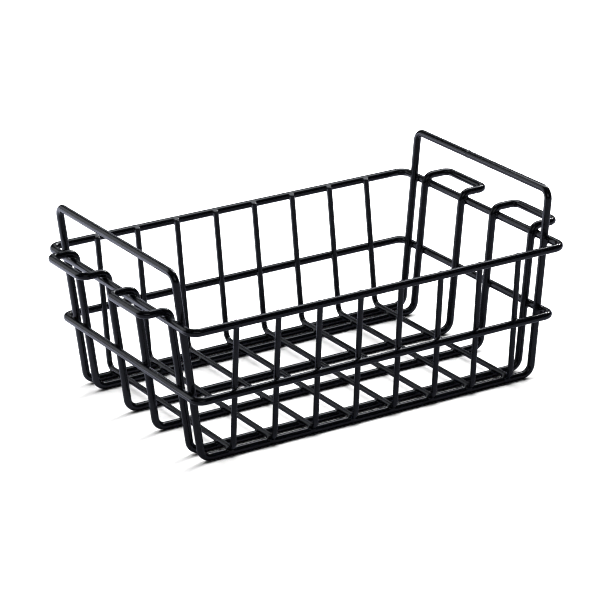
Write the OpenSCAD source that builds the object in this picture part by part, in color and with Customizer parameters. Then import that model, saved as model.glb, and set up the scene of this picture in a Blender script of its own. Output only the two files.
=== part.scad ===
// Hanging wire basket.
// An open basket of welded round wire whose four walls lean outwards. A handle stands up
// over each end, and two flat hooks at each end hang the basket on a pair of ledges.
// Millimetres. X runs along the basket, Y across it, and the bottom bars stand on Z = 0.

/* [Basket] */
// Length of the rim, between wire centres
rim_length = 302; // [286:1:340]
// Width of the rim, between wire centres
rim_width = 207; // [198:1:240]
// Height of the rim, at its wire's centre
rim_height = 102.7; // [90:0.1:125]
// Height of the middle ring, at its wire's centre
ring_height = 50.6; // [35:0.1:65]
// Length of the bottom, between the corners of its bars
base_length = 272.2; // [250:0.2:280]
// Width of the bottom, between the corners of the cross wires
base_width = 179.8; // [179:0.2:186]

/* [Wire] */
// Thickness of the wire in the rings and the long loops
frame_d = 5.5; // [5:0.1:5.6]
// Thickness of the cross wires
cross_d = 4.1; // [3.6:0.1:4.3]
// How far a leg of a loop is pressed into a ring when it is welded
frame_sink = 1.9; // [1.4:0.1:2.4]
// How far a cross wire is pressed into the wire that it is welded to
cross_sink = 1.4; // [0.8:0.1:1.5]
// How far the tips of the cross wires stop below the top of the rim
tip_drop = 1.6; // [0.5:0.1:2.5]
// Distance between neighbouring cross wires
cross_pitch = 32.7; // [28:0.1:34]

/* [Handles] */
// Height of the handles, at the wire's centre
handle_height = 139; // [133:0.5:160]
// Width of a handle, between wire centres
handle_width = 168.6; // [162:0.2:169]

/* [Hooks] */
// Distance from the middle of the basket to the middle of each hook
hook_offset = 44.6; // [43:0.2:45]
// Width of a hook, between wire centres
hook_width = 48.6; // [44:0.2:49]
// How far each hook reaches out from the end of the rim, between wire centres
hook_reach = 17.25; // [16:0.25:36]
// Space between the hooks' arms and the rim below them
hook_gap = 0.4; // [0.3:0.1:2]

/* [Bends] */
// Radius of the rim's corners, at the wire's centre
rim_corner = 8; // [6:0.5:12]
// Radius of the middle ring's corners
ring_corner = 6.5; // [6:0.5:12]
// Radius where the bottom bars turn up into the end walls
bar_bend = 8; // [6:0.5:10]
// Radius where the cross wires turn up into the side walls
cross_bend = 6; // [4:0.5:6.5]
// Radius of the handles' corners
handle_corner = 7; // [5:0.5:12]
// Radius where a leg turns out over the rim into a hook
hook_bend = 7; // [6:0.5:7]
// Radius of the hooks' outer corners
hook_corner = 5.5; // [4:0.5:7]

/* [Hidden] */
$fn = 72;
frame_colour = [0.07, 0.07, 0.08];
cross_colour = [0.11, 0.11, 0.12];

// Each straight length runs a little way into its bends, which are a hair thicker.
lap = 0.3;
hair = 0.04;

// The bottom bars lie on the ground, and the cross wires are pressed into the tops of them.
bar_z = (frame_d + hair) / 2;
cross_z = bar_z + (frame_d + cross_d) / 2 - cross_sink;
hook_z = rim_height + frame_d + hook_gap;
hook_x = rim_length / 2 + hook_reach;

// Centre lines of the legs and uprights stand this far inside the centre line of a ring.
leg_inset = frame_d - frame_sink;
upright_inset = (frame_d + cross_d) / 2 - cross_sink;

// Outward lean of the end walls and of the side walls, for each millimetre of height
end_lean = (rim_length / 2 - leg_inset - base_length / 2) / (rim_height - bar_z);
side_lean = (rim_width / 2 - upright_inset - base_width / 2) / (rim_height - cross_z);

// How far the seat of a leg or a hook goes on past the middle of the ring it is cut into
reach = 2 * frame_d;

// The swelling where the two ends of the handle loop's wire are butt-welded, on the right handle
weld_d = frame_d + 0.6;
weld_length = 2.4;
weld_y = 17;

// Rows of wires, counted from the middle of the basket
handle_row = handle_width / 2;
hook_rows = [hook_offset - hook_width / 2, hook_offset + hook_width / 2];
cross_rows = [for (i = [-3.5 : 3.5]) i * cross_pitch];

// Point on a leg of the end wall on this side, and on an upright of the side wall
function leg(y, z, side) = [side * (base_length / 2 + end_lean * (z - bar_z)), y, z];
function upright(x, z, side) = [x, side * (base_width / 2 + side_lean * (z - cross_z)), z];

// Corners of a level ring
function ring(length, width, z) = [
    [length / 2, width / 2, z],
    [-length / 2, width / 2, z],
    [-length / 2, -width / 2, z],
    [length / 2, -width / 2, z]
];

// Corners of a handle loop or a hook loop at one end, from row a round to row b
function handle_end(a, b, side) = [
    leg(a, bar_z, side),
    leg(a, handle_height, side),
    leg(b, handle_height, side),
    leg(b, bar_z, side)
];
function hook_end(a, b, side) = [
    leg(a, bar_z, side),
    leg(a, hook_z, side),
    [side * hook_x, a, hook_z],
    [side * hook_x, b, hook_z],
    leg(b, hook_z, side),
    leg(b, bar_z, side)
];

function unit(v) = v / norm(v);
// Angle through which a wire turns at corner b, and how far before b its bend starts
function turn(a, b, c) = acos(unit(b - a) * unit(c - b));
function setback(a, b, c, radius) = radius * tan(turn(a, b, c) / 2);

// A straight length of wire
module straight(from, to, d) {
    run = to - from;
    translate(from)
        rotate([0, acos(run.z / norm(run)), atan2(run.y, run.x)])
            cylinder(h = norm(run), d = d);
}

// The bend of a wire that comes from a, turns at b and goes on to c
module bend(a, b, c, radius, d) {
    ahead = unit(b - a);
    axis = unit(cross(ahead, c - b));
    away = cross(ahead, axis);
    centre = b - ahead * setback(a, b, c, radius) - away * radius;
    multmatrix([
        [away.x, ahead.x, axis.x, centre.x],
        [away.y, ahead.y, axis.y, centre.y],
        [away.z, ahead.z, axis.z, centre.z],
        [0, 0, 0, 1]
    ])
        rotate_extrude(angle = turn(a, b, c))
            translate([radius, 0])
                circle(d = d + hair);
}

// A wire bent round a list of corners, closed into a loop or with two free ends
module bent_wire(corners, radii, d, closed = true) {
    n = len(corners);
    bent = closed ? [0 : n - 1] : [1 : n - 2];
    function at(i) = corners[(i + n) % n];
    function back(i) = !closed && (i == 0 || i == n - 1) ? 0
        : setback(at(i - 1), at(i), at(i + 1), radii[i % n]) - lap;
    for (i = bent)
        bend(at(i - 1), at(i), at(i + 1), radii[i], d);
    for (i = [0 : closed ? n - 1 : n - 2]) {
        ahead = unit(at(i + 1) - at(i));
        straight(at(i) + ahead * back(i), at(i + 1) - ahead * back(i + 1), d);
    }
}

// The stretches of leg and upright that are pressed into a ring at height z
module wall_seats(z, legs) {
    for (side = [-1, 1]) {
        for (y = legs)
            straight(leg(y, z - reach, side), leg(y, z + reach, side), frame_d);
        for (x = cross_rows)
            straight(upright(x, z - reach, side), upright(x, z + reach, side), cross_d);
    }
}

// The stretches of the hooks that are pressed into the rim, with the start of each arm
module hook_seats() {
    for (side = [-1, 1], half = [-1, 1], row = hook_rows) {
        y = half * row;
        low = leg(y, rim_height - reach, side);
        arm = [side * (rim_length / 2 + reach), y, hook_z];
        bent_wire([low, leg(y, hook_z, side), arm], [0, hook_bend, 0], frame_d, false);
    }
}

// A whole cross wire, at a distance x from the middle of the basket
module cross_bar(x) {
    tip = rim_height + frame_d / 2 - tip_drop;
    corners = [
        upright(x, tip, -1),
        upright(x, cross_z, -1),
        upright(x, cross_z, 1),
        upright(x, tip, 1)
    ];
    bent_wire(corners, [0, cross_bend, cross_bend, 0], cross_d, false);
}

module top_rim() {
    color(frame_colour)
        difference() {
            bent_wire(ring(rim_length, rim_width, rim_height), [for (i = [1 : 4]) rim_corner], frame_d);
            wall_seats(rim_height, [-handle_row, handle_row]);
            hook_seats();
        }
}

module middle_ring() {
    length = 2 * (leg(0, ring_height, 1).x + leg_inset);
    width = 2 * (upright(0, ring_height, 1).y + upright_inset);
    legs = concat([-handle_row, handle_row], hook_rows, -hook_rows);
    color(frame_colour)
        difference() {
            bent_wire(ring(length, width, ring_height), [for (i = [1 : 4]) ring_corner], frame_d);
            wall_seats(ring_height, legs);
        }
}

// The butt weld that closes the handle loop, in the top bar of the right handle
module handle_weld() {
    middle = leg(weld_y, handle_height, 1);
    end = [0, weld_length / 2, 0];
    straight(middle - end, middle + end, weld_d);
}

module handle_loop() {
    radii = [bar_bend, handle_corner, handle_corner, bar_bend];
    corners = concat(handle_end(handle_row, -handle_row, 1), handle_end(-handle_row, handle_row, -1));
    color(frame_colour)
        difference() {
            union() {
                bent_wire(corners, concat(radii, radii), frame_d);
                handle_weld();
            }
            for (x = cross_rows) cross_bar(x);
        }
}

// The hook loop on one half of the basket, 1 for the back and -1 for the front
module hook_loop(half) {
    radii = [bar_bend, hook_bend, hook_corner, hook_corner, hook_bend, bar_bend];
    a = half * hook_rows[1];
    b = half * hook_rows[0];
    color(frame_colour)
        difference() {
            bent_wire(concat(hook_end(a, b, 1), hook_end(b, a, -1)), concat(radii, radii), frame_d);
            for (x = cross_rows) cross_bar(x);
        }
}

// One cross wire, counted from the left end
module cross_wire(number) {
    color(cross_colour)
        cross_bar(cross_rows[number - 1]);
}

top_rim();
middle_ring();
handle_loop();
hook_loop(1);  // hook_loop_back
hook_loop(-1);  // hook_loop_front
cross_wire(1);  // cross_wire_1
cross_wire(2);  // cross_wire_2
cross_wire(3);  // cross_wire_3
cross_wire(4);  // cross_wire_4
cross_wire(5);  // cross_wire_5
cross_wire(6);  // cross_wire_6
cross_wire(7);  // cross_wire_7
cross_wire(8);  // cross_wire_8
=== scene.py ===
"""Looks of the hanging wire basket: thirteen coated wires, welded where they cross.

The CAD pieces give every position. Each is replaced by a finer wire with the same centre
line, whose coating runs together into a small fillet at every weld. The wires are worked
out in millimetres, and their meshes are scaled to metres. The floor and the lights are in
metres.
"""

import math
from collections import namedtuple

import bpy
import numpy as np
from mathutils import Matrix, Vector

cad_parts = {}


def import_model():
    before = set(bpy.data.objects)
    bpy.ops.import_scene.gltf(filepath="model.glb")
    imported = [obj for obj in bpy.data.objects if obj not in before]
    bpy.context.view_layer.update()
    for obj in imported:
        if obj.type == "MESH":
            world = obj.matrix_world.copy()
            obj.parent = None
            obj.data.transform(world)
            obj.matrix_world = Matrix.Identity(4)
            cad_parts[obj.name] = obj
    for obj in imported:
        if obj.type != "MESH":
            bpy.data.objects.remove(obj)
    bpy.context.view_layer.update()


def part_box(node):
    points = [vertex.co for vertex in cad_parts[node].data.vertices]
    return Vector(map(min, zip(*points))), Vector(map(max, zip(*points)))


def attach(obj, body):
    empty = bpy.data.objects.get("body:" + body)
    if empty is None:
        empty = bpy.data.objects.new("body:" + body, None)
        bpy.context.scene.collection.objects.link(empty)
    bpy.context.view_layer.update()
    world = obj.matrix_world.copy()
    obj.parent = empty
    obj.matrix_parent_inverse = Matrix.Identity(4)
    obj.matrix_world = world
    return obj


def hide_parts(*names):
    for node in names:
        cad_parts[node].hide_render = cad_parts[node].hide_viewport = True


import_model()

MM = 0.001
CROSS_COUNT = 8
COATING = "black_coating"
# Keeps a division by a length of nothing finite
TINY = 1e-9

# Radii of the bends at the wire's centre
RIM_CORNER = 8.0
RING_CORNER = 6.5
BAR_BEND = 8.0
CROSS_BEND = 6.0
HANDLE_CORNER = 7.0
HOOK_BEND = 7.0
HOOK_CORNER = 5.5

# The wires lie this far inside the surface of the CAD pieces' bends.
SKIN = 0.03
# How far the legs and the uprights are pressed into the rings
LEG_SINK = 1.9
UPRIGHT_SINK = 1.4

# Width of the fillet that the coating makes at a weld, and how high it can stand on a wire
FILLET = 1.7
FILLET_HEIGHT = FILLET / 4
# The fillet's height is found by halving its range this many times.
HALVINGS = 9

# Rounding of the free ends of the cross wires, and the rings of points on the round part
TIP_ROUND = 0.9
TIP_RINGS = 5
# An end's own surface is measured within this many radii of it.
TIP_ZONE = 4
# The leaning tips' edges stand about this much higher than their centres.
TIP_LEAN = 0.2

# The butt weld in the right handle: where it is, how far the CAD's and this one swell out
# of the wire, about half the length of this one, and how far along the wire it shows
WELD_Y = 17.0
WELD_CAD_SWELL = 0.28
WELD_SWELL = 0.25
WELD_SPREAD = 0.9
WELD_REACH = 3 * WELD_SPREAD

# Points round a wire, and distances between its rings of points
FRAME_SIDES = 32
CROSS_SIDES = 28
FINE_STEP = 0.4
BEND_STEP = 0.8
LONG_STEP = 6.0


# ------------------------------------------------------------ places, from the CAD
def box_mm(node):
    low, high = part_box(node)
    return np.array(low) / MM, np.array(high) / MM


def middle(node):
    low, high = box_mm(node)
    return (low + high) / 2


def half(node):
    low, high = box_mm(node)
    return (high - low) / 2


frame_surface = half("top_rim")[2]
cross_surface = half("cross_wire_1")[0]
frame_r = frame_surface - SKIN
cross_r = cross_surface - SKIN

rim_z = middle("top_rim")[2]
ring_z = middle("middle_ring")[2]
rim_half = half("top_rim") - frame_surface
ring_half = half("middle_ring") - frame_surface
bar_z = box_mm("handle_loop")[0][2] + frame_surface
handle_z = box_mm("handle_loop")[1][2] - WELD_CAD_SWELL - frame_surface
handle_y = half("handle_loop")[1] - frame_surface
hook_z = box_mm("hook_loop_back")[1][2] - frame_surface
hook_x = half("hook_loop_back")[0] - frame_surface
hook_half = half("hook_loop_back")[1] - frame_surface
cross_x = [middle(f"cross_wire_{i + 1}")[0] for i in range(CROSS_COUNT)]
cross_z = box_mm("cross_wire_1")[0][2] + cross_surface
tip_z = box_mm("cross_wire_1")[1][2] - TIP_LEAN

# The legs and the uprights stand just inside the rings, and lean outwards as they do.
lean = (rim_half - ring_half) / (rim_z - ring_z)
leg_inset = 2 * frame_surface - LEG_SINK
upright_inset = frame_surface + cross_surface - UPRIGHT_SINK


def leg(y, z, side):
    return np.array([side * (rim_half[0] - leg_inset + lean[0] * (z - rim_z)), y, z])


def upright(x, z, side):
    return np.array([x, side * (rim_half[1] - upright_inset + lean[1] * (z - rim_z)), z])


# ------------------------------------------------------------ centre lines
def lengths(vectors):
    return np.linalg.norm(vectors, axis=1)


def unit(v):
    return v / np.linalg.norm(v)


class Straight:
    def __init__(self, start, end):
        self.start = start
        self.ahead = unit(end - start)
        self.length = np.linalg.norm(end - start)

    def at(self, s):
        """The point and the direction at a distance s along this part"""
        return self.start + self.ahead * s, self.ahead

    def turned(self, side, s):
        """A vector across the wire, carried from the start of this part to a distance s"""
        return side

    def nearest(self, points):
        s = np.clip((points - self.start) @ self.ahead, 0, self.length)
        return self.start + s[:, None] * self.ahead


class Bend:
    """The arc on which a wire that comes from a turns at corner b towards c"""

    def __init__(self, a, b, c, radius):
        ahead, onward = unit(b - a), unit(c - b)
        self.axis = unit(np.cross(ahead, onward))
        self.angle = math.acos(np.clip(ahead @ onward, -1, 1))
        setback = radius * math.tan(self.angle / 2)
        self.radius = radius
        self.length = radius * self.angle
        self.ahead = ahead
        self.away = np.cross(ahead, self.axis)
        self.centre = b - ahead * setback - self.away * radius
        self.start = b - ahead * setback
        self.end = b + onward * setback

    def at(self, s):
        t = s / self.radius
        out = math.cos(t) * self.away + math.sin(t) * self.ahead
        return self.centre + self.radius * out, np.cross(self.axis, out)

    def turned(self, side, s):
        t = s / self.radius
        along = self.axis * (side @ self.axis)
        return along + (side - along) * math.cos(t) + np.cross(self.axis, side) * math.sin(t)

    def nearest(self, points):
        offset = points - self.centre
        t = np.arctan2(offset @ self.ahead, offset @ self.away)
        halfway = self.angle / 2
        t = (t - halfway + math.pi) % (2 * math.pi) - math.pi + halfway
        t = np.clip(t, 0, self.angle)
        out = np.cos(t)[:, None] * self.away + np.sin(t)[:, None] * self.ahead
        return self.centre + self.radius * out


class Wire:
    """A wire bent round a list of corners, closed into a loop or with two free ends"""

    def __init__(self, node, corners, bends, radius, sides, closed=True):
        self.node, self.radius, self.sides, self.closed = node, radius, sides, closed
        self.weld = None
        count = len(corners)
        bent = range(count) if closed else range(1, count - 1)
        arcs = [Bend(corners[i - 1], corners[i], corners[(i + 1) % count], bends[i]) for i in bent]
        self.parts = []
        self.tips = []
        for arc, following in zip(arcs, arcs[1:] + arcs[:1]):
            self.parts += [arc, Straight(arc.end, following.start)]
        if not closed:
            first = Straight(corners[0], arcs[0].start)
            last = Straight(arcs[-1].end, corners[-1])
            self.parts = [first, *self.parts[:-1], last]
            self.tips = [(corners[0], -first.ahead), (corners[-1], last.ahead)]

    def swelling(self, centre, ahead):
        """How far the wire swells beyond its radius at this place, and its normals' tilt"""
        if self.weld is None:
            return 0.0, 0.0
        offset = centre - self.weld
        s = math.copysign(np.linalg.norm(offset), offset @ ahead) / WELD_SPREAD
        rise = WELD_SWELL * math.exp(-s * s)
        return rise, math.atan(2 * s * rise / WELD_SPREAD)

    def nearest(self, points):
        """The nearest point of the centre line, and how far away it is"""
        best = np.full(len(points), np.inf)
        foot = np.zeros_like(points)
        for part in self.parts:
            place = part.nearest(points)
            distance = lengths(points - place)
            closer = distance < best
            best[closer] = distance[closer]
            foot[closer] = place[closer]
        return foot, best

    def surface(self, points):
        """Distance above the wire's surface, and the direction that leads away from it"""
        foot, distance = self.nearest(points)
        away = (points - foot) / np.maximum(distance, TINY)[:, None]
        gap = distance - self.radius
        zone = TIP_ZONE * self.radius
        for tip, out in self.tips:
            offset = points - tip
            beyond = offset @ out
            across = offset - beyond[:, None] * out
            off_axis = lengths(across)
            across = across / np.maximum(off_axis, TINY)[:, None]
            near = (beyond > -TIP_ROUND) & (beyond < zone) & (off_axis < zone)
            # The rounded edge's own centre line is TIP_ROUND in from the side and from the end.
            sideways = off_axis - (self.radius - TIP_ROUND)
            endways = beyond + TIP_ROUND
            du, dv = np.maximum(sideways, 0), np.maximum(endways, 0)
            size = np.hypot(du, dv)
            rounded = size + np.minimum(np.maximum(sideways, endways), 0) - TIP_ROUND
            lead = (du[:, None] * across + dv[:, None] * out) / np.maximum(size, TINY)[:, None]
            gap = np.where(near, rounded, gap)
            away = np.where(near[:, None], lead, away)
        return gap, away


# ------------------------------------------------------------ the thirteen wires
def ring(node, size, z, corner):
    x, y = size[0], size[1]
    corners = [np.array(p) for p in ((x, y, z), (-x, y, z), (-x, -y, z), (x, -y, z))]
    return Wire(node, corners, [corner] * 4, frame_r, FRAME_SIDES)


def handle():
    bends = [BAR_BEND, HANDLE_CORNER, HANDLE_CORNER, BAR_BEND]
    corners = []
    for side, a in ((1, handle_y), (-1, -handle_y)):
        corners += [leg(a, bar_z, side), leg(a, handle_z, side)]
        corners += [leg(-a, handle_z, side), leg(-a, bar_z, side)]
    loop = Wire("handle_loop", corners, bends * 2, frame_r, FRAME_SIDES)
    loop.weld = leg(WELD_Y, handle_z, 1)
    return loop


def hook(node):
    bends = [BAR_BEND, HOOK_BEND, HOOK_CORNER, HOOK_CORNER, HOOK_BEND, BAR_BEND]
    centre = middle(node)[1]
    outer = centre + math.copysign(hook_half, centre)
    inner = centre - math.copysign(hook_half, centre)
    corners = []
    for side, a, b in ((1, outer, inner), (-1, inner, outer)):
        corners += [leg(a, bar_z, side), leg(a, hook_z, side)]
        corners += [np.array([side * hook_x, a, hook_z]), np.array([side * hook_x, b, hook_z])]
        corners += [leg(b, hook_z, side), leg(b, bar_z, side)]
    return Wire(node, corners, bends * 2, frame_r, FRAME_SIDES)


def cross(number):
    x = cross_x[number - 1]
    heights = (tip_z, -1), (cross_z, -1), (cross_z, 1), (tip_z, 1)
    corners = [upright(x, z, side) for z, side in heights]
    bends = [0, CROSS_BEND, CROSS_BEND, 0]
    return Wire(f"cross_wire_{number}", corners, bends, cross_r, CROSS_SIDES, closed=False)


wires = [
    ring("top_rim", rim_half, rim_z, RIM_CORNER),
    ring("middle_ring", ring_half, ring_z, RING_CORNER),
    handle(),
    hook("hook_loop_back"),
    hook("hook_loop_front"),
]
wires += [cross(i + 1) for i in range(CROSS_COUNT)]


# ------------------------------------------------------------ surfaces
# A place for a ring of points: the wire's centre and direction there, a vector across the
# wire, and whether it is at the start of a part and in a bend
Station = namedtuple("Station", "centre ahead side at_start in_bend")
# A wire is steep where its direction rises or falls by more than this much of its length.
STEEP = 0.9


def a_side(ahead):
    """A direction across a wire that runs ahead"""
    steep = abs(ahead[2]) > STEEP
    return unit(np.cross(ahead, np.array([1.0, 0, 0] if steep else [0.0, 0, 1])))


def fine_stations(wire):
    """Closely spaced stations along the wire, and the side vector at its end"""
    stations = []
    start_side = side = a_side(wire.parts[0].at(0)[1])
    for part in wire.parts:
        steps = max(1, round(part.length / FINE_STEP))
        for k in range(steps):
            s = part.length * k / steps
            here = part.turned(side, s)
            stations.append(Station(*part.at(s), here, k == 0, isinstance(part, Bend)))
        side = part.turned(side, part.length)
    if not wire.closed:
        for tip, _ in wire.tips:
            stations = [at for at in stations if np.linalg.norm(at.centre - tip) > TIP_ROUND]
        (start, back), (end, ahead) = wire.tips
        stations.insert(0, Station(start - back * TIP_ROUND, -back, start_side, True, False))
        stations.append(Station(end - ahead * TIP_ROUND, ahead, side, True, False))
    return stations, side


def by_a_weld(wire, stations):
    """Which stations are within reach of a weld"""
    centres = np.array([station.centre for station in stations])
    close = np.zeros(len(stations), bool)
    for other in wires:
        if other is not wire:
            close |= other.nearest(centres)[1] < wire.radius + other.radius + FILLET
    if wire.weld is not None:
        close |= lengths(centres - wire.weld) < WELD_REACH
    return close


def ring_places(wire):
    """Places along the wire for its rings of points, close together only where it matters"""
    stations, end_side = fine_stations(wire)
    close = by_a_weld(wire, stations)
    kept, travelled = [], 0.0
    for i, station in enumerate(stations):
        travelled += FINE_STEP
        step = BEND_STEP if station.in_bend else LONG_STEP
        beside = close[max(0, i - 1) : i + 2].any()
        needed = beside or station.at_start or station is stations[-1]
        if needed or travelled >= step:
            kept.append(station)
            travelled = 0.0

    # A closed loop's side vector has to come round to where it started.
    twist = 0.0
    if wire.closed:
        start = stations[0]
        twist = math.atan2(np.cross(end_side, start.side) @ start.ahead, end_side @ start.side)
    places = []
    for i, (centre, ahead, side, _, _) in enumerate(kept):
        t = twist * i / len(kept)
        turned = side * math.cos(t) + np.cross(ahead, side) * math.sin(t)
        places.append((centre, ahead, turned))
    return places


def tip_rings(wire, place, sign):
    """Rings of points round a free end: the wire's start for sign -1, and its end for 1"""
    centre, ahead, side = place
    rings = []
    for k in range(1, TIP_RINGS + 1):
        slope = math.pi / 2 * k / TIP_RINGS
        shift = sign * TIP_ROUND * math.sin(slope)
        reach = wire.radius - TIP_ROUND + TIP_ROUND * math.cos(slope)
        rings.append((centre + ahead * shift, ahead, side, reach, sign * slope))
    return rings[::sign]


def skin(wire):
    """Points, outward directions and faces of the plain wire"""
    places = ring_places(wire)
    rings = []
    for centre, ahead, side in places:
        rise, tilt = wire.swelling(centre, ahead)
        rings.append((centre, ahead, side, wire.radius + rise, tilt))
    if not wire.closed:
        rings = tip_rings(wire, places[0], -1) + rings + tip_rings(wire, places[-1], 1)

    sides, count = wire.sides, len(rings)
    angles = np.arange(sides) * 2 * math.pi / sides
    points, outward, faces = [], [], []
    for centre, ahead, side, reach, slope in rings:
        across = np.cross(ahead, side)
        out = np.cos(angles)[:, None] * side + np.sin(angles)[:, None] * across
        points.append(centre + out * reach)
        outward.append(out * math.cos(slope) + ahead * math.sin(slope))
    for i in range(count if wire.closed else count - 1):
        a, b = i * sides, (i + 1) % count * sides
        for j in range(sides):
            k = (j + 1) % sides
            faces.append((a + j, a + k, b + k, b + j))

    for end, (tip, out) in enumerate(wire.tips):
        first, centre_point = end * (count - 1) * sides, count * sides + end
        points.append([tip])
        outward.append([out])
        for j in range(sides):
            k = (j + 1) % sides
            pair = (first + j, first + k) if end else (first + k, first + j)
            faces.append((*pair, centre_point))
    return np.concatenate(points), np.concatenate(outward), faces


def melt(own, other):
    """Smooth union of two distances: the blended distance, and the other one's share"""
    h = np.maximum(FILLET - np.abs(own - other), 0) / FILLET
    blended = np.minimum(own, other) - h * h * FILLET_HEIGHT
    share = np.where(own < other, h / 2, 1 - h / 2)
    return blended, share


def fillet(points, outward, other):
    """How high the coating stands on a wire's points beside another wire, and its normals"""
    low, high = np.zeros(len(points)), np.full(len(points), FILLET_HEIGHT)
    for _ in range(HALVINGS):
        t = (low + high) / 2
        inside = melt(t, other.surface(points + outward * t[:, None])[0])[0] < 0
        low = np.where(inside, t, low)
        high = np.where(inside, high, t)
    t = (low + high) / 2
    gap, away = other.surface(points + outward * t[:, None])
    share = melt(t, gap)[1][:, None]
    normals = outward * (1 - share) + away * share
    return t, normals / np.maximum(lengths(normals), TINY)[:, None]


def coated(wire):
    """The wire's points and normals with the coating pooled in its welds, and its faces"""
    points, outward, faces = skin(wire)
    rise = np.zeros(len(points))
    normals = outward.copy()
    for other in wires:
        if other is wire:
            continue
        near = np.flatnonzero(other.surface(points)[0] < FILLET)
        if len(near) == 0:
            continue
        t, tilted = fillet(points[near], outward[near], other)
        better = t > rise[near]
        rise[near[better]] = t[better]
        normals[near[better]] = tilted[better]
    return points + outward * rise[:, None], normals, faces


def build(wire):
    points, normals, faces = coated(wire)
    mesh = bpy.data.meshes.new(wire.node + "_coated")
    mesh.from_pydata((points * MM).tolist(), [], faces)
    mesh.polygons.foreach_set("use_smooth", [True] * len(faces))
    mesh.normals_split_custom_set_from_vertices(normals.tolist())
    mesh.update()
    piece = bpy.data.objects.new(wire.node + "_coated", mesh)
    bpy.context.scene.collection.objects.link(piece)
    return piece


# ------------------------------------------------------------ material of the wires
COATING_COLOUR = (0.0011, 0.0015, 0.0030, 1)
COATING_IOR = 1.45
# The gloss changes from place to place in soft patches. A viewer that doesn't follow the
# noise gets the plain roughness.
PLAIN_ROUGHNESS = 0.2
ROUGHNESS_RANGE = (0.13, 0.23)
PATCHES_PER_METRE = 60
PATCH_DETAIL = 3
# The coating is very slightly wavy, like the peel of an orange.
WAVES_PER_METRE = 420
WAVE_DETAIL = 2
WAVE_STRENGTH = 0.22
WAVE_HEIGHT = 0.0004


def coating_material():
    material = bpy.data.materials.new(COATING)
    material.use_nodes = True
    nodes, links = material.node_tree.nodes, material.node_tree.links
    shader = nodes["Principled BSDF"]
    shader.inputs["Base Color"].default_value = COATING_COLOUR
    shader.inputs["Roughness"].default_value = PLAIN_ROUGHNESS
    shader.inputs["IOR"].default_value = COATING_IOR
    place = nodes.new("ShaderNodeTexCoord")

    peel = nodes.new("ShaderNodeTexNoise")
    peel.inputs["Scale"].default_value = WAVES_PER_METRE
    peel.inputs["Detail"].default_value = WAVE_DETAIL
    links.new(place.outputs["Object"], peel.inputs["Vector"])
    bump = nodes.new("ShaderNodeBump")
    bump.inputs["Strength"].default_value = WAVE_STRENGTH
    bump.inputs["Distance"].default_value = WAVE_HEIGHT
    links.new(peel.outputs["Fac"], bump.inputs["Height"])
    links.new(bump.outputs["Normal"], shader.inputs["Normal"])

    patches = nodes.new("ShaderNodeTexNoise")
    patches.inputs["Scale"].default_value = PATCHES_PER_METRE
    patches.inputs["Detail"].default_value = PATCH_DETAIL
    links.new(place.outputs["Object"], patches.inputs["Vector"])
    gloss = nodes.new("ShaderNodeMapRange")
    gloss.inputs["To Min"].default_value, gloss.inputs["To Max"].default_value = ROUGHNESS_RANGE
    links.new(patches.outputs["Fac"], gloss.inputs["Value"])
    links.new(gloss.outputs["Result"], shader.inputs["Roughness"])
    return material


coating = coating_material()
for wire in wires:
    piece = build(wire)
    piece.data.materials.append(coating)
    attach(piece, "root")
    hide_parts(wire.node)


# ------------------------------------------------------------ floor, light and camera
WHITE = (1, 1, 1)

# The floor is square, nearly white, and lies a little below the bars that stand on it. In
# reflections it is painted bluer and mostly darker: FLOOR_FRONT is its painted brightness in
# front of the basket, and behind it a painted pool of light, for the right or the left, is added.
FLOOR_HALF = 12.0
FLOOR_DROP = 0.00002
FLOOR_WHITE = (0.9, 0.9, 0.9)
FLOOR_FRONT = 0.19
FLOOR_RIGHT = 0.14
FLOOR_LEFT = 0.75
# Blue of the floor's painted reflection
FLOOR_TINT = (0.94, 0.98, 1.2)
# Where the painted brightness changes, from start to end, along Y and along X
FLOOR_BEHIND = (-0.10, 0.26)
FLOOR_LEFTWARDS = (0.05, -0.32)

# Brightness of the surroundings as the camera sees them, and as the coating mirrors them
BACKDROP = 1.25
DARK_ROOM = 0.02
# The dome of soft light is brightest round this direction, above and behind the basket. It
# brightens from DOME_LOW to DOME_TOP between these cosines of the angle to it.
DOME_AXIS = (0.0, 0.5, 0.866)
DOME_FADE = (0.70, 0.94)
DOME_LOW = 0.03
DOME_TOP = 5.0

# Colour of the panels that are only there to be mirrored
PANEL_TINT = (0.95, 0.99, 1.06)

# The photograph's view: its direction and tilt in degrees, and the camera's distance and how
# far off the middle it looks in millimetres
VIEW_AZIMUTH = 30.70
VIEW_ELEVATION = 20.843
VIEW_ROLL = -1.345
VIEW_DISTANCE = 2137.7
VIEW_RIGHT = 6.15
VIEW_UP = -58.03
# Its film and lens in millimetres, and how many metres away it stops seeing
FILM_WIDTH = 36
LENS = 177.26
SIGHT = 100


def link_math(tree, operation, first, second):
    """The result of a sum or product of two sockets, or of a socket and a number"""
    node = tree.nodes.new("ShaderNodeMath")
    node.operation = operation
    for socket, value in zip(node.inputs, (first, second)):
        if isinstance(value, (int, float)):
            socket.default_value = value
        else:
            tree.links.new(value, socket)
    return node.outputs[0]


def ramp(tree, value, span, low, high):
    """Smooth step of a socket's value, from low at the span's start to high at its end"""
    node = tree.nodes.new("ShaderNodeMapRange")
    node.interpolation_type = "SMOOTHSTEP"
    tree.links.new(value, node.inputs["Value"])
    for name, number in zip(("From Min", "From Max", "To Min", "To Max"), (*span, low, high)):
        node.inputs[name].default_value = number
    return node.outputs["Result"]


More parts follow.
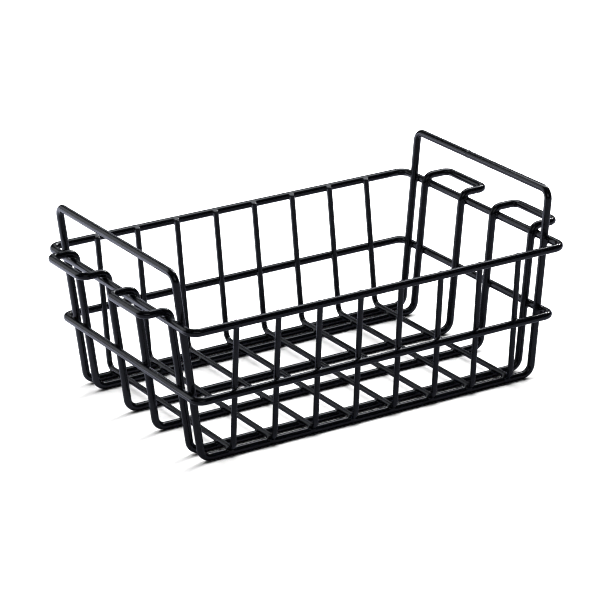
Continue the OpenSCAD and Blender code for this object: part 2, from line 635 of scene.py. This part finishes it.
def floor_material():
    """White to the camera; in the coating's reflections it carries a painted pool of light,
    brighter behind the basket than before it
    """
    material = bpy.data.materials.new("floor_white")
    material.use_nodes = True
    tree = material.node_tree
    nodes, links = tree.nodes, tree.links
    nodes.remove(nodes["Principled BSDF"])
    place = nodes.new("ShaderNodeTexCoord")
    parts = nodes.new("ShaderNodeSeparateXYZ")
    links.new(place.outputs["Object"], parts.inputs[0])
    # Painted light: a pool of brightness behind the basket, stronger to the left, that only the
    # coating's reflections see
    behind = ramp(tree, parts.outputs["Y"], FLOOR_BEHIND, 0.0, 1.0)
    to_left = ramp(tree, parts.outputs["X"], FLOOR_LEFTWARDS, FLOOR_RIGHT, FLOOR_LEFT)
    painted_light_behind = link_math(tree, "MULTIPLY", behind, to_left)
    mirrored = link_math(tree, "ADD", painted_light_behind, FLOOR_FRONT)
    tinted = nodes.new("ShaderNodeVectorMath")
    tinted.operation = "SCALE"
    tinted.inputs[0].default_value = FLOOR_TINT
    links.new(mirrored, tinted.inputs["Scale"])

    # Glossy rays see the painted reflection; the camera and the lights see the even white.
    path = nodes.new("ShaderNodeLightPath")
    choice = nodes.new("ShaderNodeMix")
    choice.data_type = "VECTOR"
    choice.inputs["A"].default_value = FLOOR_WHITE
    links.new(path.outputs["Is Glossy Ray"], choice.inputs["Factor"])
    links.new(tinted.outputs[0], choice.inputs["B"])
    white = nodes.new("ShaderNodeBsdfDiffuse")
    links.new(choice.outputs["Result"], white.inputs["Color"])
    links.new(white.outputs[0], nodes["Material Output"].inputs["Surface"])
    return material


def floor():
    signs = (-1, -1), (1, -1), (1, 1), (-1, 1)
    corners = [(x * FLOOR_HALF, y * FLOOR_HALF, -FLOOR_DROP) for x, y in signs]
    mesh = bpy.data.meshes.new("floor")
    mesh.from_pydata(corners, [], [(0, 1, 2, 3)])
    mesh.materials.append(floor_material())
    plane = bpy.data.objects.new("floor", mesh)
    bpy.context.scene.collection.objects.link(plane)


def world():
    """A white backdrop, a dark room for the coating to mirror, and a dome of soft light"""
    scene_world = bpy.data.worlds.new("studio")
    bpy.context.scene.world = scene_world
    scene_world.use_nodes = True
    tree = scene_world.node_tree
    path = tree.nodes.new("ShaderNodeLightPath")
    place = tree.nodes.new("ShaderNodeTexCoord")
    towards = tree.nodes.new("ShaderNodeVectorMath")
    towards.operation = "DOT_PRODUCT"
    tree.links.new(place.outputs["Generated"], towards.inputs[0])
    towards.inputs[1].default_value = DOME_AXIS
    dome = ramp(tree, towards.outputs["Value"], DOME_FADE, DOME_LOW, DOME_TOP)
    shining = link_math(tree, "MULTIPLY", path.outputs["Is Diffuse Ray"], dome)
    seen = link_math(tree, "MULTIPLY", path.outputs["Is Camera Ray"], BACKDROP)
    mirrored = link_math(tree, "MULTIPLY", path.outputs["Is Glossy Ray"], DARK_ROOM)
    strength = link_math(tree, "ADD", link_math(tree, "ADD", seen, mirrored), shining)
    tree.links.new(strength, tree.nodes["Background"].inputs["Strength"])
    tree.nodes["Background"].inputs["Color"].default_value = (*WHITE, 1)


def softbox(name, place, aim, size, radiance, lights=False, mirrored=True):
    """A bright rectangle that the coating mirrors, that lights the scene, or both"""
    light = bpy.data.lights.new(name, "AREA")
    light.shape = "RECTANGLE"
    light.size, light.size_y = size
    light.energy = radiance * math.pi * size[0] * size[1]
    light.color = WHITE if lights else PANEL_TINT
    lamp = bpy.data.objects.new(name, light)
    bpy.context.scene.collection.objects.link(lamp)
    lamp.location = place
    look = Vector(aim) - Vector(place)
    lamp.rotation_euler = look.to_track_quat("-Z", "Y").to_euler()
    lamp.visible_camera = False
    lamp.visible_diffuse = lights
    lamp.visible_glossy = mirrored


def softboxes():
    """Four panels and a strip only to be mirrored, a soft light and two small hard lamps"""
    ground, basket = (0, 0, 0), (0, 0, 0.1)
    softbox("panel_left", place=(-0.464, 0.546, 0.40), aim=(-0.144, -0.024, 0.1),
            size=(0.56, 0.72), radiance=0.95)
    softbox("panel_right", place=(0.56, 0.92, 0.38), aim=basket, size=(0.55, 0.44), radiance=0.25)
    softbox("panel_above", place=(0.29, 0.22, 0.53), aim=(0.29, 0.09, 0.05),
            size=(0.46, 0.34), radiance=3.1)
    softbox("panel_front", place=(-0.5, -1.2, 0.9), aim=basket, size=(1.0, 0.5), radiance=1.0)
    softbox("strip", place=(0.41, 0.96, 0.62), aim=(0, 0, 0.05), size=(0.5, 0.06), radiance=2.2)
    softbox("sky", place=(1.2, 0.5, 0.9), aim=ground, size=(0.8, 0.8), radiance=8,
            lights=True, mirrored=False)
    softbox("lamp_near", place=(1.0, 0.55, 1.0), aim=ground, size=(0.12, 0.12), radiance=80,
            lights=True)
    softbox("lamp_far", place=(1.4, 0.55, 1.0), aim=ground, size=(0.12, 0.12), radiance=130,
            lights=True)


def camera():
    azimuth, elevation, roll = (math.radians(a) for a in (VIEW_AZIMUTH, VIEW_ELEVATION, VIEW_ROLL))
    back = Vector((
        -math.sin(azimuth) * math.cos(elevation),
        -math.cos(azimuth) * math.cos(elevation),
        math.sin(elevation),
    ))
    right = (-back).cross(Vector((0, 0, 1))).normalized()
    up = right.cross(-back)
    across = right * math.cos(roll) + up * math.sin(roll)
    upwards = up * math.cos(roll) - right * math.sin(roll)
    place = back * VIEW_DISTANCE - across * VIEW_RIGHT - upwards * VIEW_UP
    data = bpy.data.cameras.new("camera")
    data.sensor_width = FILM_WIDTH
    data.lens = LENS
    data.clip_end = SIGHT
    item = bpy.data.objects.new("camera", data)
    bpy.context.scene.collection.objects.link(item)
    axes = Matrix((across, upwards, back)).transposed()
    item.matrix_world = Matrix.Translation(place * MM) @ axes.to_4x4()
    bpy.context.scene.camera = item


floor()
world()
softboxes()
camera()
bpy.context.scene.view_settings.view_transform = "Standard"
# The photo's edges are sharper than Blender's own filter makes them.
bpy.context.scene.cycles.filter_width = 1.0
